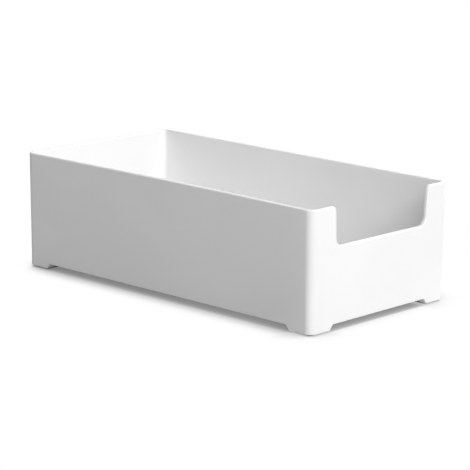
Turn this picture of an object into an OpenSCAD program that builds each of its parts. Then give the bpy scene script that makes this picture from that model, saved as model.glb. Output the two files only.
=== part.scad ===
// Stackable drawer box.
// One drafted, open-topped moulding: thin walls with rounded uprights, a finger
// cut-out in the front wall, and four corner feet that rest on the rim of the box
// below. A soft pad is seated under each foot; it grips the table, and in a stack it
// drops just inside the rim below, so that the boxes can't slide off each other.
// The front faces -Y. The origin is on the table, under the middle of the box.

/* [Box] */
// Length of the box at its rim, front to back
box_depth = 180; // [110:1:300]
// Width of the box at its rim
box_w = 92; // [80:1:200]
// Height of the rim above the table
box_h = 55; // [40:1:110]
// Thickness of the walls
wall = 2.2; // [1.6:0.1:2.8]
// Thickness of the floor
floor_t = 2; // [1.6:0.1:3]
// Draft of the walls in degrees, which narrows the box towards its floor
draft = 0.7; // [0.3:0.05:1]
// Outer radius of the uprights where walls meet, at the rim
corner_r = 4.4; // [3.8:0.1:6]
// Inner radius where the walls run into the floor
floor_r = 1.4; // [0.5:0.1:3]
// Rounding of the edges of the rim and of the finger cut-out
rim_r = 0.4; // [0.2:0.05:0.7]

/* [Finger cut-out] */
// Width of the cut-out at the rim
cut_w = 63; // [20:1:70]
// Depth of the cut-out below the rim
cut_d = 18; // [8:0.5:28]
// Slant of its two sides in degrees, which narrows it downwards
cut_slant = 2.8; // [0:0.2:10]
// Radius of its two lower corners
cut_low_r = 4; // [1.5:0.5:7]
// Radius of the rim's corners beside it
cut_top_r = 2.2; // [1:0.1:3]

/* [Feet] */
// Length of a foot along each of its two walls, where it leaves the raised edge
foot_l = 14.5; // [12:0.5:22]
// Height of a foot below the raised edge
foot_h = 2.4; // [1.6:0.1:5]
// How much shorter a foot is at its underside, from the slant of its ends
foot_run = 2; // [0.4:0.1:3]
// Rounding of the outer edge under a foot
foot_edge_r = 0.4; // [0.2:0.1:1]

/* [Pads] */
// Thickness of a pad
pad_t = 1.4; // [1:0.1:2]
// Depth of the seat that holds it
pad_seat = 0.6; // [0.4:0.1:0.8]
// Gap between a pad and the rim of the box below
stack_gap = 0.3; // [0.2:0.05:0.6]
// Gap all round a pad in its seat
seat_gap = 0.1; // [0.05:0.05:0.2]
// Foot left standing on the inner sides of a seat
seat_rim = 1; // [0.8:0.1:1.6]
// Rounding of the edge that a pad stands on
pad_edge_r = 0.4; // [0.1:0.1:0.5]

/* [Moulding marks] */
// Width of the dished spot under the floor where the plastic was let in
gate_w = 9; // [6:0.5:14]
// Depth of that spot
gate_d = 0.5; // [0.3:0.1:0.8]
// Width of the trimmed stub in its middle
stub_w = 2.4; // [1.6:0.2:4]

/* [Hidden] */

$fn = 96;
past = 1;               // how far a cutting shape runs past what it cuts
arc_parts = 8;          // straight parts that make a quarter round of a profile

// Heights, from the table up
foot_z = pad_t - pad_seat;
edge_z = foot_z + foot_h;
floor_z = edge_z + floor_t;

// Axes of the four uprights, from the middle of the box
axis_x = box_w / 2 - corner_r;
axis_y = box_depth / 2 - corner_r;

// The walls' thickness measured level, and the inner fillet that the uprights leave room for
wall_x = wall / cos(draft);
fillet_r = min(floor_r, inner_at(floor_z) - 0.1);

// Pads: as wide as fits between the rim below and the inner side of the foot, and cut to
// a tenth of a millimetre, with their outer corners rounded like the inside of the rim
pad_out = box_w / 2 - wall_x - stack_gap;
pad_in = box_w / 2 - lean(edge_z) - foot_l + foot_run + seat_rim;
pad_w = tenth(pad_out - pad_in);
pad_r = max(tenth(corner_r - wall_x - stack_gap), 1);
pad_x = pad_out - pad_w / 2;
pad_y = pad_x + (box_depth - box_w) / 2;
function tenth(size) = floor(size * 10) / 10;

// How far the walls have drawn in at height z, and where their faces are from a corner's axis
function lean(z) = (box_h - z) * tan(draft);
function outer_at(z) = corner_r - lean(z);
function inner_at(z) = outer_at(z) - wall_x;

// Points round a centre c, from one angle to another
function arc(c, r, from, to) =
    [for (i = [0 : arc_parts]) let (a = from + (to - from) * i / arc_parts) c + r * [cos(a), sin(a)]];

// Points of an edge rounded against the outer face, against the inner face, and the fillet
function round_outer(z, r, from, to) = arc([outer_at(z) - r / cos(draft), z], r, from, to);
function round_inner(z, r, from, to) = arc([inner_at(z) + r / cos(draft), z], r, from, to);
function round_fillet(z, r, from, to) = arc([inner_at(z) - r / cos(draft), z], r, from, to);

// Half of the wall and floor in section: X runs outwards from a corner's axis, Y is up
module wall_profile() {
    polygon(concat(
        [[0, foot_z]],
        round_outer(foot_z + foot_edge_r, foot_edge_r, -90, -draft),
        round_outer(box_h - rim_r, rim_r, -draft, 90),
        round_inner(box_h - rim_r, rim_r, 90, 180 - draft),
        round_fillet(floor_z + fillet_r, fillet_r, -draft, -90),
        [[0, floor_z]]
    ));
}

// Half of a pad in section, with the edge that it stands on rounded
module pad_profile() {
    polygon(concat([[0, 0]], arc([pad_r - pad_edge_r, pad_edge_r], pad_edge_r, -90, 0),
                   [[pad_r, pad_t], [0, pad_t]]));
}

// A section carried round a rounded rectangle whose corner axes are at +-x, +-y: turned at
// the corners, drawn out along the sides, and filled from z0 to z1 between the axes
module round_sweep(x, y, z0, z1) {
    for (side = [0 : 3]) {
        odd = side % 2 == 1;
        reach = odd ? y : x;
        half = odd ? x : y;
        rotate(90 * side) {
            translate([reach, 0, 0]) rotate([90, 0, 0]) linear_extrude(2 * half, center = true) children();
            translate([reach, half, 0]) rotate_extrude(angle = 90) children();
        }
    }
    translate([-x, -y, z0]) cube([2 * x, 2 * y, z1 - z0]);
}

// The front wall's own plane, which leans by the draft: X across, Y into the wall, and Z
// up from the rim. In it the wall is a flat plate, and the cut-out goes square through it.
module on_front_wall() {
    translate([0, -box_depth / 2, box_h]) rotate([draft, 0, 0]) children();
}

// Half width of the cut-out at height z below the rim, and the centres of its corners' rounds
function cut_side(z) = cut_w / 2 + z * tan(cut_slant);
low_c = [cut_side(cut_low_r - cut_d) - cut_low_r / cos(cut_slant), cut_low_r - cut_d];
top_c = [cut_side(-cut_top_r) + cut_top_r / cos(cut_slant), -cut_top_r];

// Where the straight side of the cut-out leaves the round of its lower and upper corner
across = [cos(cut_slant), -sin(cut_slant)];
low_p = low_c + cut_low_r * across;
top_p = top_c - cut_top_r * across;

// Outline of the cut-out: straight sides, lower corners filled out by rounds, and upper
// corners kept back to the rounds of the rim
module cut_outline() {
    right = [[low_c.x, -cut_d], low_c, low_p, top_p, top_c, [top_c.x, past]];
    left = [for (i = [len(right) - 1 : -1 : 0]) [-right[i].x, right[i].y]];
    difference() {
        union() {
            polygon(concat(right, left));
            for (side = [-1, 1]) translate([side * low_c.x, low_c.y]) circle(cut_low_r);
        }
        for (side = [-1, 1]) translate([side * top_c.x, top_c.y]) circle(cut_top_r);
    }
}

// What is taken off to round an edge, in section: X goes into the edge, Y into the face
module edge_section() {
    out = rim_r;
    polygon(concat([[-out, -out], [rim_r, -out]], arc([rim_r, rim_r], rim_r, 270, 180), [[-out, rim_r]]));
}

// That section carried along the cut-out's edge in one face of the wall
module cut_edge() {
    turn = 90 - cut_slant;
    translate([-low_c.x, 0, -cut_d]) rotate([0, 90, 0]) linear_extrude(2 * low_c.x) edge_section();
    for (side = [0, 1]) mirror([side, 0, 0]) {
        translate([low_c.x, 0, low_c.y]) rotate([-90, 0, 0]) rotate(cut_slant)
            rotate_extrude(angle = turn) translate([cut_low_r, 0]) edge_section();
        translate([low_p.x, 0, low_p.y]) rotate([0, cut_slant, 0])
            linear_extrude(norm(top_p - low_p)) edge_section();
        translate([top_c.x, 0, top_c.y]) rotate([-90, 0, 0]) rotate(cut_slant - 180)
            rotate_extrude(angle = turn) translate([cut_top_r, 0]) mirror([1, 0]) edge_section();
    }
}

module finger_cut() {
    on_front_wall() {
        translate([0, wall + past, 0]) rotate([90, 0, 0]) linear_extrude(wall + 2 * past) cut_outline();
        cut_edge();
        translate([0, wall, 0]) mirror([0, 1, 0]) cut_edge();
    }
}

// The gap between two feet, for a wall whose outer faces are length apart at the rim
module foot_gap(length, through) {
    top = length / 2 - lean(edge_z) - foot_l;
    slope = foot_run / foot_h;
    low = top + slope * (foot_h + past);
    rotate([90, 0, 0]) linear_extrude(through, center = true)
        polygon([[-low, foot_z - past], [low, foot_z - past], [top, edge_z], [-top, edge_z]]);
}

// Rounded square of a pad or its seat, by the gap around the pad
module pad_outline(gap) {
    half = pad_w / 2 + gap;
    r = pad_r + gap;
    square([2 * half, 2 * (half - r)], center = true);
    square([2 * (half - r), 2 * half], center = true);
    for (x = [-1, 1], y = [-1, 1]) translate([x, y] * (half - r)) circle(r);
}

module pad_seats() {
    for (x = [-1, 1], y = [-1, 1]) translate([x * pad_x, y * pad_y, foot_z - past])
        linear_extrude(pad_seat + past) pad_outline(seat_gap);
}

// The spot where the plastic was let in: a shallow dish with a trimmed stub left in it
module gate_mark() {
    translate([0, 0, edge_z]) rotate_extrude()
        polygon([[stub_w / 2, -past], [gate_w / 2, -past], [gate_w / 2, 0],
                 [gate_w / 2 - gate_d, gate_d], [stub_w / 2, gate_d]]);
}

// The moulding: swept walls and floor, less the gaps between its feet and the cut-out
module bin() {
    color("white") difference() {
        round_sweep(axis_x, axis_y, foot_z, floor_z) wall_profile();
        foot_gap(box_w, box_depth + 2 * past);
        rotate(90) foot_gap(box_depth, box_w + 2 * past);
        finger_cut();
        pad_seats();
        gate_mark();
    }
}

// A soft pad, pushed up into the seat of the foot on side x, y
module foot_pad(x, y) {
    color("darkgray") translate([x * pad_x, y * pad_y, 0])
        round_sweep(pad_w / 2 - pad_r, pad_w / 2 - pad_r, 0, pad_t) pad_profile();
}

bin();
foot_pad(-1, -1);  // foot_pad_front_left
foot_pad(1, -1);  // foot_pad_front_right
foot_pad(-1, 1);  // foot_pad_rear_left
foot_pad(1, 1);  // foot_pad_rear_right
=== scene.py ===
"""Stackable drawer box: a white moulded bin with a finger cut-out, on four soft foot pads.

The bin and the pads are drawn up as Geometry Nodes trees from a few named sizes. The sizes
are in metres, in the same frame as the construction model: the origin is on the table under
the middle of the box, and the front faces -Y.
"""

import math

import bmesh
import bpy
from bpy.props import FloatProperty, FloatVectorProperty, PointerProperty
from mathutils import Matrix, Vector


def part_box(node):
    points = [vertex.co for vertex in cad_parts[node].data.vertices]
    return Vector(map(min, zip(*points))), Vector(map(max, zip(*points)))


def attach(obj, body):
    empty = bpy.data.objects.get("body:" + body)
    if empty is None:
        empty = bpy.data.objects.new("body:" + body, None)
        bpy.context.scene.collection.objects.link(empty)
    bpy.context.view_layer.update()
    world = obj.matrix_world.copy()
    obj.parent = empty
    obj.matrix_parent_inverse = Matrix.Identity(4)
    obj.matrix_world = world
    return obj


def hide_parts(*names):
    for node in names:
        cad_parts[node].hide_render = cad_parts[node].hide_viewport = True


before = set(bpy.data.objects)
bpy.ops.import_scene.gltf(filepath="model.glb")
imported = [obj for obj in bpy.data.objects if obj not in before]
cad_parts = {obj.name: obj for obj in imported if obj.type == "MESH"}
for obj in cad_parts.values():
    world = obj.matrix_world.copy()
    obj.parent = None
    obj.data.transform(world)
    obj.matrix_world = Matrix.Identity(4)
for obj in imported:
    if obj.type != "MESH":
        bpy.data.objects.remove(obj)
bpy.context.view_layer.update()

bl_info = {
    "name": "Stackable Drawer Box",
    "version": (1, 0, 0),
    "blender": (4, 5, 0),
    "location": "3D View > Sidebar > Drawer Box",
    "description": "Draws up a stackable drawer box with a finger cut-out and soft foot pads",
    "category": "Add Mesh",
}

MM = 0.001
BODY = "root"
BIN_NODE = "bin"
PAD_BOXES = {name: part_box(name) for name in sorted(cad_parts) if name != BIN_NODE}
BIN_LOW, BIN_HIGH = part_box(BIN_NODE)
PAD_LOW, PAD_HIGH = PAD_BOXES["foot_pad_rear_right"]


# ------------------------------------------------------------------ sizes and colours

DRAFT = 0.7                     # degrees
ROUNDING = 0.4 * MM             # rounding of the moulding's lower edges
RIM_ROUNDING = 0.7 * MM         # rounding of the rim and the finger cut-out, for a soft grip
RIM_LOSS = ROUNDING * math.tan(math.radians(DRAFT))     # draft within the model's own rounding
FOOT_HEIGHT = 2.4 * MM
PAD_RADIUS = 1.8 * MM
SEAT_GAP = 0.1 * MM             # gap all round a pad in its seat


def length(name, value, description, low=0.0):
    return FloatProperty(name=name, description=description, default=value, min=low,
                         unit="LENGTH", subtype="DISTANCE", precision=5)


def angle(name, degrees, description):
    return FloatProperty(name=name, description=description, default=math.radians(degrees),
                         unit="ROTATION", subtype="ANGLE", precision=3)


def colour(name, value, description):
    return FloatVectorProperty(name=name, description=description, default=value, size=3,
                               subtype="COLOR", min=0.0, max=1.0)


def number(name, value, description):
    return FloatProperty(name=name, description=description, default=value, min=0.0)


class DrawerBinSizes(bpy.types.PropertyGroup):
    """Sizes of the moulded bin"""
    width: length("Width", BIN_HIGH.x - BIN_LOW.x + 2 * RIM_LOSS, "Width at the rim")
    depth: length("Length", BIN_HIGH.y - BIN_LOW.y + 2 * RIM_LOSS, "Length at the rim")
    height: length("Height", BIN_HIGH.z, "Height of the rim above the table")
    foot_level: length("Foot Level", BIN_LOW.z, "Height of the feet above the table")
    foot_height: length("Foot Height", FOOT_HEIGHT, "Height of a foot below the raised edge")
    foot_length: length("Foot Length", 14.5 * MM, "Length of a foot along each of its walls")
    foot_run: length("Foot Run", 2 * MM, "How much shorter a foot is at its underside")
    wall: length("Wall", 2.2 * MM, "Thickness of the walls")
    floor: length("Floor", 2 * MM, "Thickness of the floor")
    draft: angle("Draft", DRAFT, "Lean of the walls, which narrows the bin downwards")
    corner_radius: length("Corner Radius", 4.4 * MM, "Outer radius of the uprights")
    floor_fillet: length("Floor Fillet", 1.4 * MM, "Inner radius between wall and floor")
    cut_width: length("Cut Width", 61.8 * MM, "Width of the finger cut-out at the rim")
    cut_depth: length("Cut Depth", 17.8 * MM, "Depth of the finger cut-out")
    cut_slant: angle("Cut Slant", 2.8, "Slant of the sides of the finger cut-out")
    cut_lower_radius: length("Cut Lower Radius", 4 * MM, "Radius of its lower corners")
    cut_upper_radius: length("Cut Upper Radius", 2.2 * MM, "Radius of the rim beside it")
    rounding: length("Rounding", ROUNDING, "Rounding of the lower edges")
    rim_rounding: length("Rim Rounding", RIM_ROUNDING, "Rounding of the rim and the cut-out",
                         low=ROUNDING)
    left_draw_in: length("Left Draw-in", 1.3 * MM,
                         "How far the left wall draws in at the middle of its rim")
    right_draw_in: length("Right Draw-in", 0.3 * MM,
                          "How far the right wall draws in at the middle of its rim")


class DrawerSeatSizes(bpy.types.PropertyGroup):
    """Sizes of the marks and recesses under the bin"""
    foot_level: length("Foot Level", BIN_LOW.z, "Height of the feet above the table")
    foot_height: length("Foot Height", FOOT_HEIGHT, "Height of a foot below the raised edge")
    place_x: length("Seat Place X", (PAD_LOW.x + PAD_HIGH.x) / 2, "Pad to the middle, across")
    place_y: length("Seat Place Y", (PAD_LOW.y + PAD_HIGH.y) / 2, "Pad to the middle, along")
    seat_width: length("Seat Width", PAD_HIGH.x - PAD_LOW.x + 2 * SEAT_GAP,
                       "Width of a pad's seat")
    seat_radius: length("Seat Radius", PAD_RADIUS + SEAT_GAP, "Corner radius of a pad's seat")
    seat_depth: length("Seat Depth", PAD_HIGH.z - BIN_LOW.z, "Depth of a pad's seat")
    gate_width: length("Gate Width", 9 * MM, "Width of the dish where the plastic was let in")
    gate_depth: length("Gate Depth", 0.5 * MM, "Depth of that dish")
    stub_width: length("Stub Width", 2.4 * MM, "Width of the trimmed stub in the dish")


class DrawerPadSizes(bpy.types.PropertyGroup):
    """Sizes of a soft foot pad"""
    width: length("Width", PAD_HIGH.x - PAD_LOW.x, "Width of a pad")
    thickness: length("Thickness", PAD_HIGH.z - PAD_LOW.z, "Thickness of a pad")
    corner_radius: length("Corner Radius", PAD_RADIUS, "Radius of a pad's corners")
    lower_rounding: length("Lower Rounding", 0.4 * MM, "Rounding of the edge it stands on")
    upper_rounding: length("Upper Rounding", 0.12 * MM, "Rounding of the edge in its seat")


class DrawerFinish(bpy.types.PropertyGroup):
    """Colours and surfaces"""
    plastic: colour("Plastic", (0.89, 0.89, 0.89), "White of the moulding")
    plastic_drift: colour("Plastic Drift", (0.87, 0.87, 0.87), "White where it cooled slower")
    plastic_edge: colour("Plastic Edge", (0.90, 0.90, 0.90), "White of its handled edges")
    plastic_roughness: number("Plastic Roughness", 0.46, "Roughness of the satin face")
    rubber: colour("Rubber", (0.31, 0.31, 0.315), "Grey of the foot pads")
    rubber_drift: colour("Rubber Drift", (0.26, 0.26, 0.265), "Grey of their duller patches")
    rubber_edge: colour("Rubber Edge", (0.37, 0.37, 0.375), "Grey of their rubbed edges")
    rubber_roughness: number("Rubber Roughness", 0.82, "Roughness of the pads")


class DrawerStage(bpy.types.PropertyGroup):
    """Floor, lamps and camera"""
    floor: colour("Floor", (0.56, 0.56, 0.56), "Grey of the floor, as it lights the bin")
    # How far from the bin the floor's painted shadow runs
    painted_shadow_reach: length("Shadow Reach", 20 * MM, "How far from the bin its soft shadow runs")
    sky: number("Sky", 0.10, "Strength of the light from all round")
    key_power: number("Key Power", 12.85, "Watts of the lamp in front")
    right_power: number("Right Power", 20.0, "Watts of the larger, softer lamp on the right")
    left_power: number("Left Power", 7.7, "Watts of the larger, softer lamp on the left")
    lens: number("Lens", 169.4, "Focal length on a 36 mm sensor, in millimetres")


def own_properties(sizes):
    """A property group's own properties, without those that every group has."""
    return [p for p in sizes.bl_rna.properties if p.identifier not in ("rna_type", "name")]


# ------------------------------------------------------------------ drawing node trees

NODES_IN_COLUMN = 8
COLUMN_WIDTH = 220
ROW_HEIGHT = 190


class Field:
    """A number in a node tree. Sums and products of such numbers add Math nodes."""

    def __init__(self, tree, socket):
        self.tree = tree
        self.socket = socket

    def math(self, operation, *others):
        node = self.tree.nodes.new("ShaderNodeMath")
        node.operation = operation
        for value, socket in zip((self, *others), node.inputs):
            plug(self.tree, value, socket)
        return Field(self.tree, node.outputs[0])

    def __add__(self, other):
        return self.math("ADD", other)

    def __sub__(self, other):
        return self.math("SUBTRACT", other)

    def __mul__(self, other):
        return self.math("MULTIPLY", other)

    def __truediv__(self, other):
        return self.math("DIVIDE", other)

    def __neg__(self):
        return self.math("MULTIPLY", -1)


def plug(tree, value, socket):
    """Link a socket to what is given, or set it to a plain value."""
    if isinstance(value, Field):
        value = value.socket
    if isinstance(value, list):
        for one in value:
            tree.links.new(one, socket)
    elif isinstance(value, bpy.types.NodeSocket):
        tree.links.new(value, socket)
    else:
        socket.default_value = value


def add(tree, kind, inputs=None, output=0, **settings):
    """Add a node with its settings and inputs, and return one of its outputs."""
    node = tree.nodes.new(kind)
    for name, value in settings.items():
        setattr(node, name, value)
    for name, value in (inputs or {}).items():
        plug(tree, value, node.inputs[name])
    return node.outputs[output]


def group(tree, inner, inputs):
    """Add a node group with its inputs, and return its outputs."""
    node = tree.nodes.new(tree.bl_idname.replace("Tree", "Group"))
    node.node_tree = inner
    for name, value in inputs.items():
        plug(tree, value, node.inputs[name])
    return node.outputs


def lay_out(tree):
    """Set a tree's nodes out in columns, and return the tree."""
    for place, node in enumerate(tree.nodes):
        column, row = divmod(place, NODES_IN_COLUMN)
        node.location = (column * COLUMN_WIDTH, -row * ROW_HEIGHT)
    return tree


def point(tree, x, y, z=0.0):
    return add(tree, "ShaderNodeCombineXYZ", {"X": x, "Y": y, "Z": z})


def coordinates(tree, place):
    """The x, y and z of a place, as fields."""
    parts = tree.nodes.new("ShaderNodeSeparateXYZ")
    plug(tree, place, parts.inputs["Vector"])
    return [Field(tree, part) for part in parts.outputs]


def pick(tree, data_type, values):
    """The value that belongs to a point's number in its outline."""
    node = tree.nodes.new("GeometryNodeIndexSwitch")
    node.data_type = data_type
    while len(node.index_switch_items) < len(values):
        node.index_switch_items.new()
    plug(tree, add(tree, "GeometryNodeInputIndex"), node.inputs["Index"])
    for place, value in enumerate(values):
        plug(tree, value, node.inputs[str(place)])
    return node.outputs[0]


def points_at(tree, places):
    """A chain of points at the places given."""
    line = add(tree, "GeometryNodeMeshLine", {"Count": len(places)})
    return add(tree, "GeometryNodeSetPosition",
               {"Geometry": line, "Position": pick(tree, "VECTOR", places)})


def outline(tree, points, rounds=None, steps=0, closed=True):
    """A line through the points. Where rounds gives a radius, it rounds the corner in steps."""
    rounds = rounds or [None] * len(points)
    line = add(tree, "GeometryNodeMeshToCurve", {"Mesh": points_at(tree, points)})
    line = add(tree, "GeometryNodeSetSplineCyclic", {"Geometry": line, "Cyclic": closed})
    return add(tree, "GeometryNodeFilletCurve", {
        "Curve": line,
        "Count": pick(tree, "INT", [steps if radius else 0 for radius in rounds]),
        "Radius": pick(tree, "FLOAT", [radius or 0.0 for radius in rounds]),
    }, mode="POLY")


def carried(tree, path, section, fill):
    """A section carried along a level path: its X points outwards, and its Y down."""
    path = add(tree, "GeometryNodeSetCurveNormal", {"Curve": path}, mode="Z_UP")
    shape = add(tree, "GeometryNodeCurveToMesh",
                {"Curve": path, "Profile Curve": section, "Fill Caps": fill})
    return add(tree, "GeometryNodeFlipFaces", {"Mesh": shape})


def bar(tree, section, start, end):
    """A closed section drawn out along Y, from start to end."""
    path = add(tree, "GeometryNodeCurvePrimitiveLine",
               {"Start": point(tree, 0.0, start), "End": point(tree, 0.0, end)})
    return carried(tree, path, section, True)


def take_off(tree, solid, cutter):
    return add(tree, "GeometryNodeMeshBoolean", {"Mesh 1": solid, "Mesh 2": cutter},
               operation="DIFFERENCE", solver="EXACT")


def placed(tree, shape, place=(0.0, 0.0, 0.0), rotation=(0.0, 0.0, 0.0)):
    return add(tree, "GeometryNodeTransform",
               {"Geometry": shape, "Translation": place, "Rotation": rotation})


def weld(tree, shape):
    return add(tree, "GeometryNodeMergeByDistance", {"Geometry": shape, "Distance": WELD})


SHAPE_AND_MATERIAL = {"Geometry": "NodeSocketGeometry", "Material": "NodeSocketMaterial"}
NOT_NUMBERS = ("GEOMETRY", "MATERIAL", "VECTOR", "CUSTOM")


def new_tree(name, sizes, first):
    """A Geometry Nodes tree. Its inputs are the first ones given, then a property group's sizes.

    Returns the tree and its inputs by name, the numbers among them as fields.
    """
    tree = bpy.data.node_groups.new(name, "GeometryNodeTree")
    for socket_name, kind in first.items():
        tree.interface.new_socket(socket_name, in_out="INPUT", socket_type=kind)
    for size in own_properties(sizes):
        socket = tree.interface.new_socket(
            size.name, in_out="INPUT", socket_type="NodeSocketFloat")
        socket.subtype = size.subtype
        socket.description = size.description
        socket.default_value = size.default
    tree.interface.new_socket("Geometry", in_out="OUTPUT", socket_type="NodeSocketGeometry")
    entry = tree.nodes.new("NodeGroupInput")
    return tree, {socket.name: socket if socket.type in NOT_NUMBERS else Field(tree, socket)
                  for socket in entry.outputs}


def end_tree(tree, shape):
    plug(tree, shape, tree.nodes.new("NodeGroupOutput").inputs[0])
    return lay_out(tree)


def finish_tree(tree, shape, material):
    """Weld, smooth, realize and give the material, which is how each piece's tree ends."""
    shape = add(tree, "GeometryNodeSetShadeSmooth", {"Geometry": weld(tree, shape)})
    shape = add(tree, "GeometryNodeRealizeInstances", {"Geometry": shape})
    shape = add(tree, "GeometryNodeSetMaterial", {"Geometry": shape, "Material": material})
    return end_tree(tree, shape)


# ------------------------------------------------------------------ geometry trees

WELD = 0.001 * MM       # points closer than this are one point
PAST = 1 * MM           # how far a cutting shape runs past what it cuts
CORNER_STEPS = 12       # faces round each upright
SIDE_CUTS = 29          # cuts along each long wall, so that it can draw in as a smooth curve
FILLET_STEPS = 6        # faces across the fillet between wall and floor
BEVEL_STEPS = 4         # faces across a rounded edge
CUT_STEPS = 12          # faces round a corner of the finger cut-out
RING_STEPS = 48         # faces round the gate mark
DRAW_IN_CURVE = 1.3     # how gently the draw-in of the long walls sets in at the uprights
SHARP = math.radians(35)                # an edge that turns by more than this is rounded
ROUNDED_SHARE = "bevel_weight_edge"     # each edge's share of the full rounding
QUARTER_TURN = math.pi / 2


def round_sweep_tree():
    """A section carried round a rounded rectangle, with its two open ends filled level."""
    tree = bpy.data.node_groups.new("Round Sweep", "GeometryNodeTree")
    for name, kind in {
        "Section": "Geometry", "Width": "Float", "Length": "Float", "Corner Radius": "Float",
        "Corner Steps": "Int", "Side Cuts": "Int",
    }.items():
        tree.interface.new_socket(name, in_out="INPUT", socket_type="NodeSocket" + kind)
    tree.interface.new_socket("Geometry", in_out="OUTPUT", socket_type="NodeSocketGeometry")
    entry = tree.nodes.new("NodeGroupInput")
    size = {socket.name: Field(tree, socket) for socket in entry.outputs}

    # The rectangle's odd sides are its long ones. Of the points, only its corners are rounded.
    plan = add(tree, "GeometryNodeCurvePrimitiveQuadrilateral",
               {"Width": size["Width"], "Height": size["Length"]}, mode="RECTANGLE")
    long_side = Field(tree, add(tree, "GeometryNodeInputIndex")).math("MODULO", 2)
    plan = add(tree, "GeometryNodeSubdivideCurve",
               {"Curve": plan, "Cuts": size["Side Cuts"] * long_side})
    _, y, z = coordinates(tree, add(tree, "GeometryNodeInputPosition"))
    corner = y.math("ABSOLUTE").math("GREATER_THAN", size["Length"] / 2 - WELD)
    plan = add(tree, "GeometryNodeFilletCurve", {
        "Curve": plan,
        "Count": corner * size["Corner Steps"],
        "Radius": corner * size["Corner Radius"],
    }, mode="POLY")
    walls = weld(tree, carried(tree, plan, size["Section"], False))

    # The two open ends are the loops of edges with one face, at the lowest and highest level
    faces = Field(tree, add(tree, "GeometryNodeInputMeshEdgeNeighbors"))
    open_edge = faces.math("COMPARE", 1, 0.5)
    ends = add(tree, "GeometryNodeMeshToCurve", {"Mesh": walls, "Selection": open_edge})
    parts = [walls]
    for end in ("Min", "Max"):
        level = Field(tree, add(tree, "GeometryNodeAttributeStatistic",
                                {"Geometry": ends, "Attribute": z}, output=end))
        at_level = z.math("COMPARE", level, WELD)
        loop = add(tree, "GeometryNodeMeshToCurve",
                   {"Mesh": walls, "Selection": open_edge * at_level})
        cap = add(tree, "GeometryNodeFillCurve", {"Curve": loop}, mode="NGONS")
        cap = placed(tree, cap, point(tree, 0.0, 0.0, level))
        if end == "Min":
            cap = add(tree, "GeometryNodeFlipFaces", {"Mesh": cap})
        parts.append(cap)
    whole = add(tree, "GeometryNodeJoinGeometry", {"Geometry": parts})
    return end_tree(tree, weld(tree, whole))


def foot_gap(tree, size, lean, edge_level, length, through):
    """What is taken off between two feet, along Y: its ends slant outwards as they go down."""
    top = length / 2 - lean - size["Foot Length"]
    low = top + size["Foot Run"] * (size["Foot Height"] + PAST) / size["Foot Height"]
    below = -size["Foot Level"] + PAST
    section = outline(tree, [
        point(tree, -low, below), point(tree, low, below),
        point(tree, top, -edge_level), point(tree, -top, -edge_level),
    ])
    half = through / 2 + PAST
    return bar(tree, section, -half, half)


def finger_cut(tree, size):
    """What is taken off for the fingers, square through the front wall as it leans."""
    side = size["Cut Width"] / 2
    low_side = side - size["Cut Depth"] * size["Cut Slant"].math("TANGENT")
    turn = -size["Cut Slant"] + QUARTER_TURN
    meet = side + size["Cut Upper Radius"] * (turn / 2).math("TANGENT")
    rounds = [size["Cut Lower Radius"], size["Cut Upper Radius"], None, None]
    section = outline(tree, [
        point(tree, low_side, size["Cut Depth"]), point(tree, side, 0.0),
        point(tree, meet, 0.0), point(tree, meet, -PAST),
        point(tree, -meet, -PAST), point(tree, -meet, 0.0),
        point(tree, -side, 0.0), point(tree, -low_side, size["Cut Depth"]),
    ], rounds + rounds[::-1], CUT_STEPS)
    cut = bar(tree, section, -PAST, size["Wall"] + PAST)
    return placed(tree, cut, point(tree, 0.0, size["Length"] / -2, size["Height"]),
                  point(tree, size["Draft"], 0.0))


def wall_section(tree, size, floor_level):
    """Half of the wall and floor in section, from under the floor round the rim to its top."""
    slope = size["Draft"].math("TANGENT")
    level_wall = size["Wall"] / size["Draft"].math("COSINE")
    foot_lean = (size["Height"] - size["Foot Level"]) * slope
    floor_lean = (size["Height"] - floor_level) * slope
    reach = -size["Corner Radius"]
    return outline(tree, [
        point(tree, reach, -size["Foot Level"]),
        point(tree, -foot_lean, -size["Foot Level"]),
        point(tree, 0.0, -size["Height"]),
        point(tree, -level_wall, -size["Height"]),
        point(tree, -level_wall - floor_lean, -floor_level),
        point(tree, reach, -floor_level),
    ], [None, None, None, None, size["Floor Fillet"], None], FILLET_STEPS, closed=False)


def draw_in(tree, size, shell, edge_level):
    """The long walls draw in a little as they cool, most at the middle of the rim."""
    x, y, z = coordinates(tree, add(tree, "GeometryNodeInputPosition"))
    share = y / (size["Length"] / 2 - size["Corner Radius"])
    along = (-(share * share) + 1).math("MAXIMUM", 0.0).math("POWER", DRAW_IN_CURVE)
    up = ((z - edge_level) / (size["Height"] - edge_level)).math("MAXIMUM", 0.0)
    right = x.math("GREATER_THAN", 0.0)
    draw = size["Left Draw-in"] - (size["Left Draw-in"] + size["Right Draw-in"]) * right
    return add(tree, "GeometryNodeSetPosition",
               {"Geometry": shell, "Offset": point(tree, draw * along * up, 0.0)})


def mark_edges(tree, size, shell):
    """Give each sharp edge its share of the rounding. The rim and the cut-out get it in full."""
    _, _, z = coordinates(tree, add(tree, "GeometryNodeInputPosition"))
    sharp = Field(tree, add(tree, "GeometryNodeInputMeshEdgeAngle")).math("GREATER_THAN", SHARP)
    at_rim = z.math("GREATER_THAN", size["Height"] - size["Cut Depth"] - PAST)
    least = size["Rounding"] / size["Rim Rounding"]
    return add(tree, "GeometryNodeStoreNamedAttribute", {
        "Geometry": shell, "Name": ROUNDED_SHARE,
        "Value": sharp * (least + at_rim * (-least + 1)),
    }, data_type="FLOAT", domain="EDGE")


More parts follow.
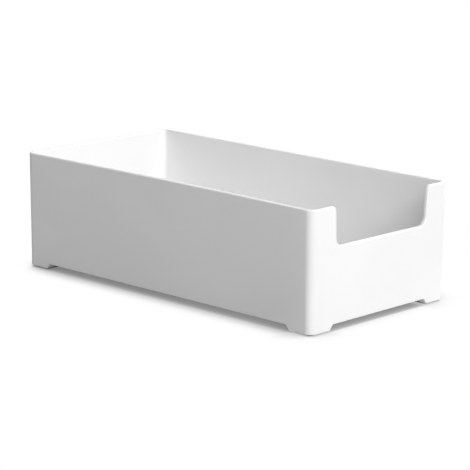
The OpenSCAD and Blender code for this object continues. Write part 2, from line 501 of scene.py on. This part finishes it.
def bin_tree(round_sweep):
    """The bin with sharp edges: swept walls and floor, less foot gaps and finger cut-out."""
    tree, size = new_tree("Drawer Bin", DrawerBinSizes, SHAPE_AND_MATERIAL)
    edge_level = size["Foot Level"] + size["Foot Height"]
    floor_level = edge_level + size["Floor"]
    shell = group(tree, round_sweep, {
        "Section": wall_section(tree, size, floor_level), "Width": size["Width"],
        "Length": size["Length"], "Corner Radius": size["Corner Radius"],
        "Corner Steps": CORNER_STEPS, "Side Cuts": SIDE_CUTS,
    })[0]
    shell = draw_in(tree, size, shell, edge_level)

    lean = (size["Height"] - edge_level) * size["Draft"].math("TANGENT")
    front_gap = foot_gap(tree, size, lean, edge_level, size["Width"], size["Length"])
    side_gap = foot_gap(tree, size, lean, edge_level, size["Length"], size["Width"])
    side_gap = placed(tree, side_gap, rotation=(0.0, 0.0, QUARTER_TURN))
    for cutter in (front_gap, side_gap, finger_cut(tree, size)):
        shell = take_off(tree, shell, cutter)
    return finish_tree(tree, mark_edges(tree, size, shell), size["Material"])


def pad_seats(tree, size):
    """What is taken off for the four pads: a rounded square under each foot."""
    half = size["Seat Width"] / 2
    square = outline(tree, [
        point(tree, half, half), point(tree, -half, half),
        point(tree, -half, -half), point(tree, half, -half),
    ], [size["Seat Radius"]] * 4, CORNER_STEPS)
    seat = bar(tree, square, -PAST, size["Seat Depth"])
    seat = placed(tree, seat, rotation=(QUARTER_TURN, 0.0, 0.0))
    places = points_at(tree, [
        point(tree, size["Seat Place X"] * x, size["Seat Place Y"] * y, size["Foot Level"])
        for x, y in ((1, 1), (-1, 1), (-1, -1), (1, -1))])
    seats = add(tree, "GeometryNodeInstanceOnPoints", {"Points": places, "Instance": seat})
    return add(tree, "GeometryNodeRealizeInstances", {"Geometry": seats})


def gate_dish(tree, size):
    """The dish where the plastic was let in, as a ring round the trimmed stub."""
    stub = size["Stub Width"] / 2
    rim = size["Gate Width"] / 2 - stub
    section = outline(tree, [
        point(tree, 0.0, PAST), point(tree, rim, PAST), point(tree, rim, 0.0),
        point(tree, rim - size["Gate Depth"], -size["Gate Depth"]),
        point(tree, 0.0, -size["Gate Depth"]),
    ])
    ring = add(tree, "GeometryNodeCurvePrimitiveCircle",
               {"Resolution": RING_STEPS, "Radius": stub}, mode="RADIUS")
    return placed(tree, carried(tree, ring, section, False),
                  point(tree, 0.0, 0.0, size["Foot Level"] + size["Foot Height"]))


def seat_tree():
    """The bin with what is sunk in its underside: four pad seats and the mark of the gate."""
    tree, size = new_tree("Bin Underside", DrawerSeatSizes, SHAPE_AND_MATERIAL)
    shape = take_off(tree, size["Geometry"], pad_seats(tree, size))
    shape = take_off(tree, shape, gate_dish(tree, size))
    return finish_tree(tree, shape, size["Material"])


def pad_tree(round_sweep):
    """A rounded square pad with its lower edge well rounded, set at its place."""
    tree, size = new_tree("Foot Pad", DrawerPadSizes,
                          {**SHAPE_AND_MATERIAL, "Place": "NodeSocketVector"})
    reach = -size["Corner Radius"]
    section = outline(tree, [
        point(tree, reach, 0.0), point(tree, 0.0, 0.0),
        point(tree, 0.0, -size["Thickness"]), point(tree, reach, -size["Thickness"]),
    ], [None, size["Lower Rounding"], size["Upper Rounding"], None], FILLET_STEPS, closed=False)
    pad = group(tree, round_sweep, {
        "Section": section, "Width": size["Width"], "Length": size["Width"],
        "Corner Radius": size["Corner Radius"], "Corner Steps": CORNER_STEPS, "Side Cuts": 0,
    })[0]
    return finish_tree(tree, placed(tree, pad, size["Place"]), size["Material"])


# ------------------------------------------------------------------ materials

PITS_TO_GRAINS = 0.7            # how many pits there are to a grain, along a line
PATCHES_TO_GRAINS = 0.02        # and how many duller patches
FINE_SHARE = 0.6                # of the grain's height, the rest being pits
BROAD_SHARE = 0.7               # of the grain's mask, the rest being fine
DRIFT_BAND = (0.35, 0.65)       # where in the noise one tone goes over into the other
EDGE_TURN = 0.8                 # cosine of the turn at which an edge counts in full
EDGE_TINT = 0.5                 # how far a rubbed edge takes on its own tone
EDGE_POLISH = 0.08              # how much smoother it is
ROUGHNESS_SPREAD = 0.16         # between the duller and the smoother patches
GRAIN_STRENGTH = 0.6
MIX_INPUTS = (0, 6, 7)          # a Mix node's share and its two colours, told by number,
MIX_RESULT = 2                  # because its other sockets have the same names


def shader_group(name, inputs, outputs):
    """A shader node group. Returns it, its inputs by name and its output node."""
    tree = bpy.data.node_groups.new(name, "ShaderNodeTree")
    for socket_name, (kind, value) in inputs.items():
        socket = tree.interface.new_socket(socket_name, in_out="INPUT", socket_type=kind)
        if value is not None:
            socket.default_value = value
    for socket_name, kind in outputs.items():
        tree.interface.new_socket(socket_name, in_out="OUTPUT", socket_type=kind)
    entry = {socket.name: socket for socket in tree.nodes.new("NodeGroupInput").outputs}
    return tree, entry, tree.nodes.new("NodeGroupOutput")


def noise(tree, vector, scale, detail, roughness, distortion=0.0):
    return Field(tree, add(tree, "ShaderNodeTexNoise", {
        "Vector": vector, "Scale": scale, "Detail": detail, "Roughness": roughness,
        "Distortion": distortion}))


def mixed(tree, share, first, second):
    """Two colours mixed."""
    node = tree.nodes.new("ShaderNodeMix")
    node.data_type = "RGBA"
    for place, value in zip(MIX_INPUTS, (share, first, second)):
        plug(tree, value, node.inputs[place])
    return node.outputs[MIX_RESULT]


def rgba(tone):
    return (*tone, 1.0)


def moulded_grain():
    """The fine, even grain that a blasted mould leaves. Puts out its height and a mask."""
    tree, entry, result = shader_group("Moulded Grain", {
        "Vector": ("NodeSocketVector", None), "Grain Size": ("NodeSocketFloat", 0.35 * MM),
    }, {"Height": "NodeSocketFloat", "Mask": "NodeSocketFloat"})
    scale = Field(tree, entry["Grain Size"]).math("POWER", -1.0)
    fine = noise(tree, entry["Vector"], scale, detail=2.0, roughness=0.6)
    pits = Field(tree, add(tree, "ShaderNodeTexVoronoi", {
        "Vector": entry["Vector"], "Scale": scale * PITS_TO_GRAINS}, feature="SMOOTH_F1"))
    broad = noise(tree, entry["Vector"], scale * PATCHES_TO_GRAINS, detail=3.0, roughness=0.5)
    plug(tree, fine * FINE_SHARE + pits * (1 - FINE_SHARE), result.inputs["Height"])
    plug(tree, broad * BROAD_SHARE + fine * (1 - BROAD_SHARE), result.inputs["Mask"])
    return lay_out(tree)


def tone_drift():
    """A slow drift between two tones, as where the plastic flowed and cooled."""
    tree, entry, result = shader_group("Tone Drift", {
        "Vector": ("NodeSocketVector", None), "Tone": ("NodeSocketColor", None),
        "Drift Tone": ("NodeSocketColor", None), "Patch Size": ("NodeSocketFloat", 60 * MM),
    }, {"Colour": "NodeSocketColor"})
    scale = Field(tree, entry["Patch Size"]).math("POWER", -1.0)
    patches = noise(tree, entry["Vector"], scale, detail=3.0, roughness=0.45, distortion=0.6)
    low, high = DRIFT_BAND
    share = add(tree, "ShaderNodeMapRange", {
        "Value": patches, "From Min": low, "From Max": high}, interpolation_type="SMOOTHSTEP")
    plug(tree, mixed(tree, share, entry["Tone"], entry["Drift Tone"]), result.inputs["Colour"])
    return lay_out(tree)


def handled_edges():
    """A mask of the edges that hands and tables rub, wide as given."""
    tree, entry, result = shader_group("Handled Edges", {
        "Edge Width": ("NodeSocketFloat", 1 * MM),
    }, {"Mask": "NodeSocketFloat"})
    softened = add(tree, "ShaderNodeBevel", {"Radius": entry["Edge Width"]}, samples=6)
    normal = add(tree, "ShaderNodeNewGeometry", output="Normal")
    same = add(tree, "ShaderNodeVectorMath", {0: softened, 1: normal}, output="Value",
               operation="DOT_PRODUCT")
    mask = add(tree, "ShaderNodeMapRange", {
        "Value": same, "From Min": 1.0, "From Max": EDGE_TURN}, interpolation_type="SMOOTHSTEP")
    plug(tree, mask, result.inputs["Mask"])
    return lay_out(tree)


def surface(name, effects, tones, roughness, grain_size, grain_depth, patch_size, edge_width):
    """A moulded surface: drifting tone, fine grain, and edges that are rubbed smoother."""
    material = bpy.data.materials.new(name)
    material.use_nodes = True
    tree = material.node_tree
    shader = tree.nodes["Principled BSDF"]
    grain, drift, edges = effects
    tone, drift_tone, edge_tone = (rgba(one) for one in tones)
    place = add(tree, "ShaderNodeTexCoord", output="Object")
    base = group(tree, drift, {"Vector": place, "Tone": tone, "Drift Tone": drift_tone,
                               "Patch Size": patch_size})["Colour"]
    edge = Field(tree, group(tree, edges, {"Edge Width": edge_width})["Mask"])
    grained = group(tree, grain, {"Vector": place, "Grain Size": grain_size})
    mask = Field(tree, grained["Mask"])
    rough = (mask - 0.5) * ROUGHNESS_SPREAD - edge * EDGE_POLISH + roughness
    bump = add(tree, "ShaderNodeBump", {"Strength": GRAIN_STRENGTH, "Distance": grain_depth,
                                        "Height": grained["Height"]})
    plug(tree, mixed(tree, edge * EDGE_TINT, base, edge_tone), shader.inputs["Base Color"])
    plug(tree, rough, shader.inputs["Roughness"])
    plug(tree, bump, shader.inputs["Normal"])
    lay_out(tree)
    return material


def plastic_material(finish, effects):
    return surface("satin_white_plastic", effects,
                   (finish.plastic, finish.plastic_drift, finish.plastic_edge),
                   finish.plastic_roughness, grain_size=0.25 * MM, grain_depth=0.055 * MM,
                   patch_size=70 * MM, edge_width=0.9 * MM)


def rubber_material(finish, effects):
    return surface("soft_grey_rubber", effects,
                   (finish.rubber, finish.rubber_drift, finish.rubber_edge),
                   finish.rubber_roughness, grain_size=0.2 * MM, grain_depth=0.06 * MM,
                   patch_size=5 * MM, edge_width=0.5 * MM)


def kept(kind, name, make):
    """A material or tree by name, made the first time that it is asked for."""
    return kind.get(name) or make()


def shared_effects():
    trees = bpy.data.node_groups
    return (kept(trees, "Moulded Grain", moulded_grain), kept(trees, "Tone Drift", tone_drift),
            kept(trees, "Handled Edges", handled_edges))


# ------------------------------------------------------------------ pieces

def new_object(name, data):
    """An object in the scene, in the place of an older one of its name."""
    old = bpy.data.objects.get(name)
    if old is not None:
        bpy.data.objects.remove(old)
    made = bpy.data.objects.new(name, data)
    bpy.context.scene.collection.objects.link(made)
    return made


def new_piece(name):
    return new_object(name, bpy.data.meshes.new(name))


def add_tree(piece, tree, sizes, **others):
    """Give a piece a tree as a modifier, with its inputs from a property group."""
    modifier = piece.modifiers.new(tree.name, "NODES")
    modifier.node_group = tree
    values = {size.name: getattr(sizes, size.identifier) for size in own_properties(sizes)}
    values.update(others)
    for item in tree.interface.items_tree:
        if item.in_out == "INPUT" and item.name in values:
            modifier[item.identifier] = values[item.name]


def add_bevel(piece, width):
    """Round the edges that were marked, each by its share of the width."""
    bevel = piece.modifiers.new("Rounded edges", "BEVEL")
    bevel.width = width
    bevel.segments = BEVEL_STEPS
    bevel.limit_method = "WEIGHT"
    bevel.edge_weight = ROUNDED_SHARE
    bevel.use_clamp_overlap = False


def add_weighted_normals(piece):
    """Flat faces stay flat to the light, and only the rounds between them are shaded round."""
    weighted = piece.modifiers.new("Weighted normals", "WEIGHTED_NORMAL")
    weighted.mode = "FACE_AREA"


def settle(piece):
    """Make one plain, closed mesh of what the modifiers give, and take the modifiers off."""
    graph = bpy.context.evaluated_depsgraph_get()
    mesh = bpy.data.meshes.new_from_object(
        piece.evaluated_get(graph), preserve_all_data_layers=True, depsgraph=graph)
    piece.modifiers.clear()
    old = piece.data
    piece.data = mesh
    bpy.data.meshes.remove(old)
    mesh.name = piece.name

    # The trees leave an empty slot before the material, and every face is of the one material
    material = mesh.materials[-1]
    mesh.materials.clear()
    mesh.materials.append(material)

    probe = bmesh.new()
    probe.from_mesh(mesh)
    gaps = sum(len(edge.link_faces) != 2 for edge in probe.edges)
    volume = probe.calc_volume(signed=True)
    probe.free()
    if gaps or volume <= 0:
        raise RuntimeError(f"{piece.name} isn't a closed solid: {gaps} open edges")


def hand_over(piece, slot, *nodes):
    """The piece stands for these nodes of the construction model, and moves with them."""
    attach(piece, BODY)
    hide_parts(*nodes)


# ------------------------------------------------------------------ floor, light and camera

# Where the camera stands and how it is turned, in metres and degrees
CAMERA_PLACE = Vector((-0.7235, -0.6813, 0.2517))
CAMERA_AZIMUTH = -46.82
CAMERA_ELEVATION = 12.98
CAMERA_ROLL = 0.677
SENSOR = 36.0           # millimetres
NEAREST = 10 * MM
FURTHEST = 100.0

# Each lamp: degrees to the right of straight in front, degrees above the floor, and its width
KEY_LAMP = (-6.0, 38.0, 0.6)
RIGHT_LAMP = (95.0, 35.0, 1.2)
LEFT_LAMP = (-40.0, 25.0, 1.2)
LAMP_DISTANCE = 1.5

FLOOR_REACH = 6.0
WHITE = (1.0, 1.0, 1.0)

# For the painted shadow, the floor looks up to see how far the box closes it in: straight up
# beside the rear wall, and leaning further to the front the nearer to it, where the painted
# shadow is painted lighter, as if lit from the front
PAINTED_SHADOW_LEAN = 2.4       # for each metre
UPRIGHT_AT = 90 * MM

# Each step of a painted shadow: how open the floor is overhead, and how light it is painted
# there
PAINTED_SHADOW_RAMP = ((0.0, 0.19), (0.25, 0.34), (0.50, 0.50), (0.60, 0.70), (0.68, 0.88), (0.78, 1.0))
PAINTED_FAINT_SHADOW_RAMP = ((0.0, 0.48), (0.35, 0.58), (0.60, 0.72), (0.75, 0.86), (0.90, 1.0))
# Round the front feet the floor's painted shadow takes the fainter ramp
FEET_ACROSS = 31 * MM   # where the front feet begin, from the middle of the box
FEET_FORWARDS = 76 * MM
FEET_BLEND = 3 * MM


def direction(azimuth, elevation):
    """Unit vector from the box towards a point this far round from straight in front, and up."""
    a = math.radians(azimuth)
    e = math.radians(elevation)
    return Vector((math.sin(a) * math.cos(e), -math.cos(a) * math.cos(e), math.sin(e)))


def facing(towards):
    """The turn of a camera or lamp that looks back along this direction."""
    return towards.to_track_quat("Z", "Y").to_matrix().to_4x4()


def make_camera(stage):
    data = bpy.data.cameras.new("camera")
    data.lens = stage.lens
    data.sensor_width = SENSOR
    data.clip_start = NEAREST
    data.clip_end = FURTHEST
    camera = new_object("camera", data)
    roll = Matrix.Rotation(math.radians(CAMERA_ROLL), 4, "Z")
    back = direction(CAMERA_AZIMUTH, CAMERA_ELEVATION)
    camera.matrix_world = Matrix.Translation(CAMERA_PLACE) @ facing(back) @ roll
    bpy.context.scene.camera = camera


def seen_directly(tree):
    """1 for camera, glossy and transmission rays, which show the background as it is."""
    rays = tree.nodes.new("ShaderNodeLightPath")
    seen = Field(tree, rays.outputs["Is Camera Ray"])
    seen = seen.math("MAXIMUM", rays.outputs["Is Glossy Ray"])
    return seen.math("MAXIMUM", rays.outputs["Is Transmission Ray"])


def graded(tree, share, steps):
    """A grey by the steps given, each a share and how light it is there."""
    ramp = tree.nodes.new("ShaderNodeValToRGB")
    plug(tree, share, ramp.inputs["Fac"])
    stops = ramp.color_ramp.elements
    while len(stops) < len(steps):
        stops.new(1.0)
    for stop, (place, tone) in zip(stops, steps):
        stop.position = place
        stop.color = rgba([tone] * 3)
    return ramp.outputs["Color"]


def beyond(tree, distance, start):
    """0 before the start and 1 beyond it, blended."""
    return Field(tree, add(tree, "ShaderNodeMapRange", {
        "Value": distance, "From Min": start - FEET_BLEND, "From Max": start + FEET_BLEND,
    }, interpolation_type="SMOOTHSTEP"))


def front_feet(tree, place):
    """1 round the front feet, where the floor's shadow is painted fainter, as if the light from
    the front reached under them.
    """
    x, y, _ = coordinates(tree, place)
    return beyond(tree, x.math("ABSOLUTE"), FEET_ACROSS) * beyond(tree, -y, FEET_FORWARDS)


def floor_tone(tree, reach):
    """The floor's painted shadow: white, and painted greyer the more the box closes it in
    overhead.
    """
    place = add(tree, "ShaderNodeTexCoord", output="Object")
    looks = add(tree, "ShaderNodeVectorMath", {
        0: place, 1: (0.0, PAINTED_SHADOW_LEAN, 0.0), 2: (0.0, -PAINTED_SHADOW_LEAN * UPRIGHT_AT, 1.0),
    }, operation="MULTIPLY_ADD")
    looks = add(tree, "ShaderNodeVectorMath", {0: looks}, operation="NORMALIZE")
    openness = add(tree, "ShaderNodeAmbientOcclusion",
                   {"Distance": reach, "Normal": looks}, output="AO", samples=16)
    # The painted shadow, and a fainter painted shadow round the front feet
    plain = graded(tree, openness, PAINTED_SHADOW_RAMP)
    faint = graded(tree, openness, PAINTED_FAINT_SHADOW_RAMP)
    return mixed(tree, front_feet(tree, place), plain, faint)


def floor_material(stage):
    """Lights the box as a grey floor does, shows white with a painted shadow round the box, and
    is clear from below.
    """
    material = bpy.data.materials.new("pale_floor_with_painted_shadow")
    material.use_nodes = True
    tree = material.node_tree
    tree.nodes.clear()
    for_light = add(tree, "ShaderNodeBsdfDiffuse", {"Color": rgba(stage.floor)})
    # What the camera sees of the floor: white with the painted shadow
    shown = add(tree, "ShaderNodeEmission", {"Color": floor_tone(tree, stage.painted_shadow_reach)})
    top = add(tree, "ShaderNodeMixShader", {0: seen_directly(tree), 1: for_light, 2: shown})
    below = add(tree, "ShaderNodeNewGeometry", output="Backfacing")
    clear = add(tree, "ShaderNodeBsdfTransparent")
    whole = add(tree, "ShaderNodeMixShader", {0: below, 1: top, 2: clear})
    plug(tree, whole, tree.nodes.new("ShaderNodeOutputMaterial").inputs["Surface"])
    lay_out(tree)
    return material


def make_floor(stage):
    bm = bmesh.new()
    bmesh.ops.create_grid(bm, x_segments=1, y_segments=1, size=FLOOR_REACH)
    mesh = bpy.data.meshes.new("floor")
    bm.to_mesh(mesh)
    bm.free()
    mesh.materials.append(floor_material(stage))
    floor = new_object("floor", mesh)


def make_world(stage):
    """A faint light from all round, behind which the background shows white."""
    world = bpy.data.worlds.new("studio")
    bpy.context.scene.world = world
    world.use_nodes = True
    tree = world.node_tree
    tree.nodes.clear()
    white = rgba(WHITE)
    for_light = add(tree, "ShaderNodeBackground", {"Color": white, "Strength": stage.sky})
    shown = add(tree, "ShaderNodeBackground", {"Color": white, "Strength": 1.0})
    both = add(tree, "ShaderNodeMixShader", {0: seen_directly(tree), 1: for_light, 2: shown})
    plug(tree, both, tree.nodes.new("ShaderNodeOutputWorld").inputs["Surface"])
    lay_out(tree)


def make_lamp(name, place, power):
    azimuth, elevation, width = place
    data = bpy.data.lights.new(name, "AREA")
    data.shape = "SQUARE"
    data.size = width
    data.energy = power
    towards = direction(azimuth, elevation)
    lamp = new_object(name, data)
    lamp.matrix_world = Matrix.Translation(towards * LAMP_DISTANCE) @ facing(towards)


# ------------------------------------------------------------------ operators

class DRAWERBOX_OT_stage(bpy.types.Operator):
    """Set up the pale floor with its painted shadow, the soft studio light and the camera"""
    bl_idname = "drawer_box.stage"
    bl_label = "Studio Stage"
    bl_options = {"REGISTER", "UNDO"}

    def execute(self, context):
        stage = context.scene.drawer_stage
        make_camera(stage)
        make_floor(stage)
        make_world(stage)
        make_lamp("key_lamp", KEY_LAMP, stage.key_power)
        make_lamp("right_lamp", RIGHT_LAMP, stage.right_power)
        make_lamp("left_lamp", LEFT_LAMP, stage.left_power)
        context.scene.view_settings.view_transform = "Standard"
        return {"FINISHED"}


class DRAWERBOX_OT_bin(bpy.types.Operator):
    """Make the moulded bin: walls, floor, feet, finger cut-out and the seats of its pads"""
    bl_idname = "drawer_box.bin"
    bl_label = "Moulded Bin"
    bl_options = {"REGISTER", "UNDO"}

    def execute(self, context):
        scene = context.scene
        trees = bpy.data.node_groups
        plastic = kept(bpy.data.materials, "satin_white_plastic",
                       lambda: plastic_material(scene.drawer_finish, shared_effects()))
        sweep = kept(trees, "Round Sweep", round_sweep_tree)
        piece = new_piece("moulded_bin")
        add_tree(piece, kept(trees, "Drawer Bin", lambda: bin_tree(sweep)),
                 scene.drawer_bin_sizes, Material=plastic)
        add_bevel(piece, scene.drawer_bin_sizes.rim_rounding)
        add_tree(piece, kept(trees, "Bin Underside", seat_tree),
                 scene.drawer_seat_sizes, Material=plastic)
        add_weighted_normals(piece)
        settle(piece)
        hand_over(piece, "box_plastic", BIN_NODE)
        return {"FINISHED"}


class DRAWERBOX_OT_foot_pads(bpy.types.Operator):
    """Make the four soft pads that sit in the feet"""
    bl_idname = "drawer_box.foot_pads"
    bl_label = "Foot Pads"
    bl_options = {"REGISTER", "UNDO"}

    def execute(self, context):
        scene = context.scene
        trees = bpy.data.node_groups
        rubber = kept(bpy.data.materials, "soft_grey_rubber",
                      lambda: rubber_material(scene.drawer_finish, shared_effects()))
        sweep = kept(trees, "Round Sweep", round_sweep_tree)
        tree = kept(trees, "Foot Pad", lambda: pad_tree(sweep))
        for node, (low, high) in PAD_BOXES.items():
            piece = new_piece(node.replace("foot_pad", "soft_pad"))
            place = ((low.x + high.x) / 2, (low.y + high.y) / 2, low.z)
            add_tree(piece, tree, scene.drawer_pad_sizes, Material=rubber, Place=place)
            add_weighted_normals(piece)
            settle(piece)
            hand_over(piece, "pad_rubber", node)
        return {"FINISHED"}


# ------------------------------------------------------------------ panel

GROUPS = {
    "drawer_bin_sizes": ("Bin", DrawerBinSizes),
    "drawer_seat_sizes": ("Underside", DrawerSeatSizes),
    "drawer_pad_sizes": ("Foot pads", DrawerPadSizes),
    "drawer_finish": ("Finish", DrawerFinish),
    "drawer_stage": ("Stage", DrawerStage),
}
OPERATORS = (DRAWERBOX_OT_stage, DRAWERBOX_OT_bin, DRAWERBOX_OT_foot_pads)


class DRAWERBOX_PT_panel(bpy.types.Panel):
    """Sizes and colours of the drawer box, and the buttons that make its pieces"""
    bl_idname = "DRAWERBOX_PT_panel"
    bl_label = "Drawer Box"
    bl_space_type = "VIEW_3D"
    bl_region_type = "UI"
    bl_category = "Drawer Box"

    def draw(self, context):
        layout = self.layout
        for operator in OPERATORS:
            layout.operator(operator.bl_idname)
        for name, (heading, _) in GROUPS.items():
            sizes = getattr(context.scene, name)
            box = layout.box()
            box.label(text=heading)
            for size in own_properties(sizes):
                box.prop(sizes, size.identifier)


CLASSES = tuple(kind for _, kind in GROUPS.values()) + OPERATORS + (DRAWERBOX_PT_panel,)


def register():
    for kind in CLASSES:
        bpy.utils.register_class(kind)
    for name, (_, kind) in GROUPS.items():
        setattr(bpy.types.Scene, name, PointerProperty(type=kind))


def unregister():
    for name in GROUPS:
        delattr(bpy.types.Scene, name)
    for kind in reversed(CLASSES):
        bpy.utils.unregister_class(kind)


def main():
    register()
    bpy.ops.drawer_box.stage()
    bpy.ops.drawer_box.bin()
    bpy.ops.drawer_box.foot_pads()


if __name__ == "__main__":
    main()
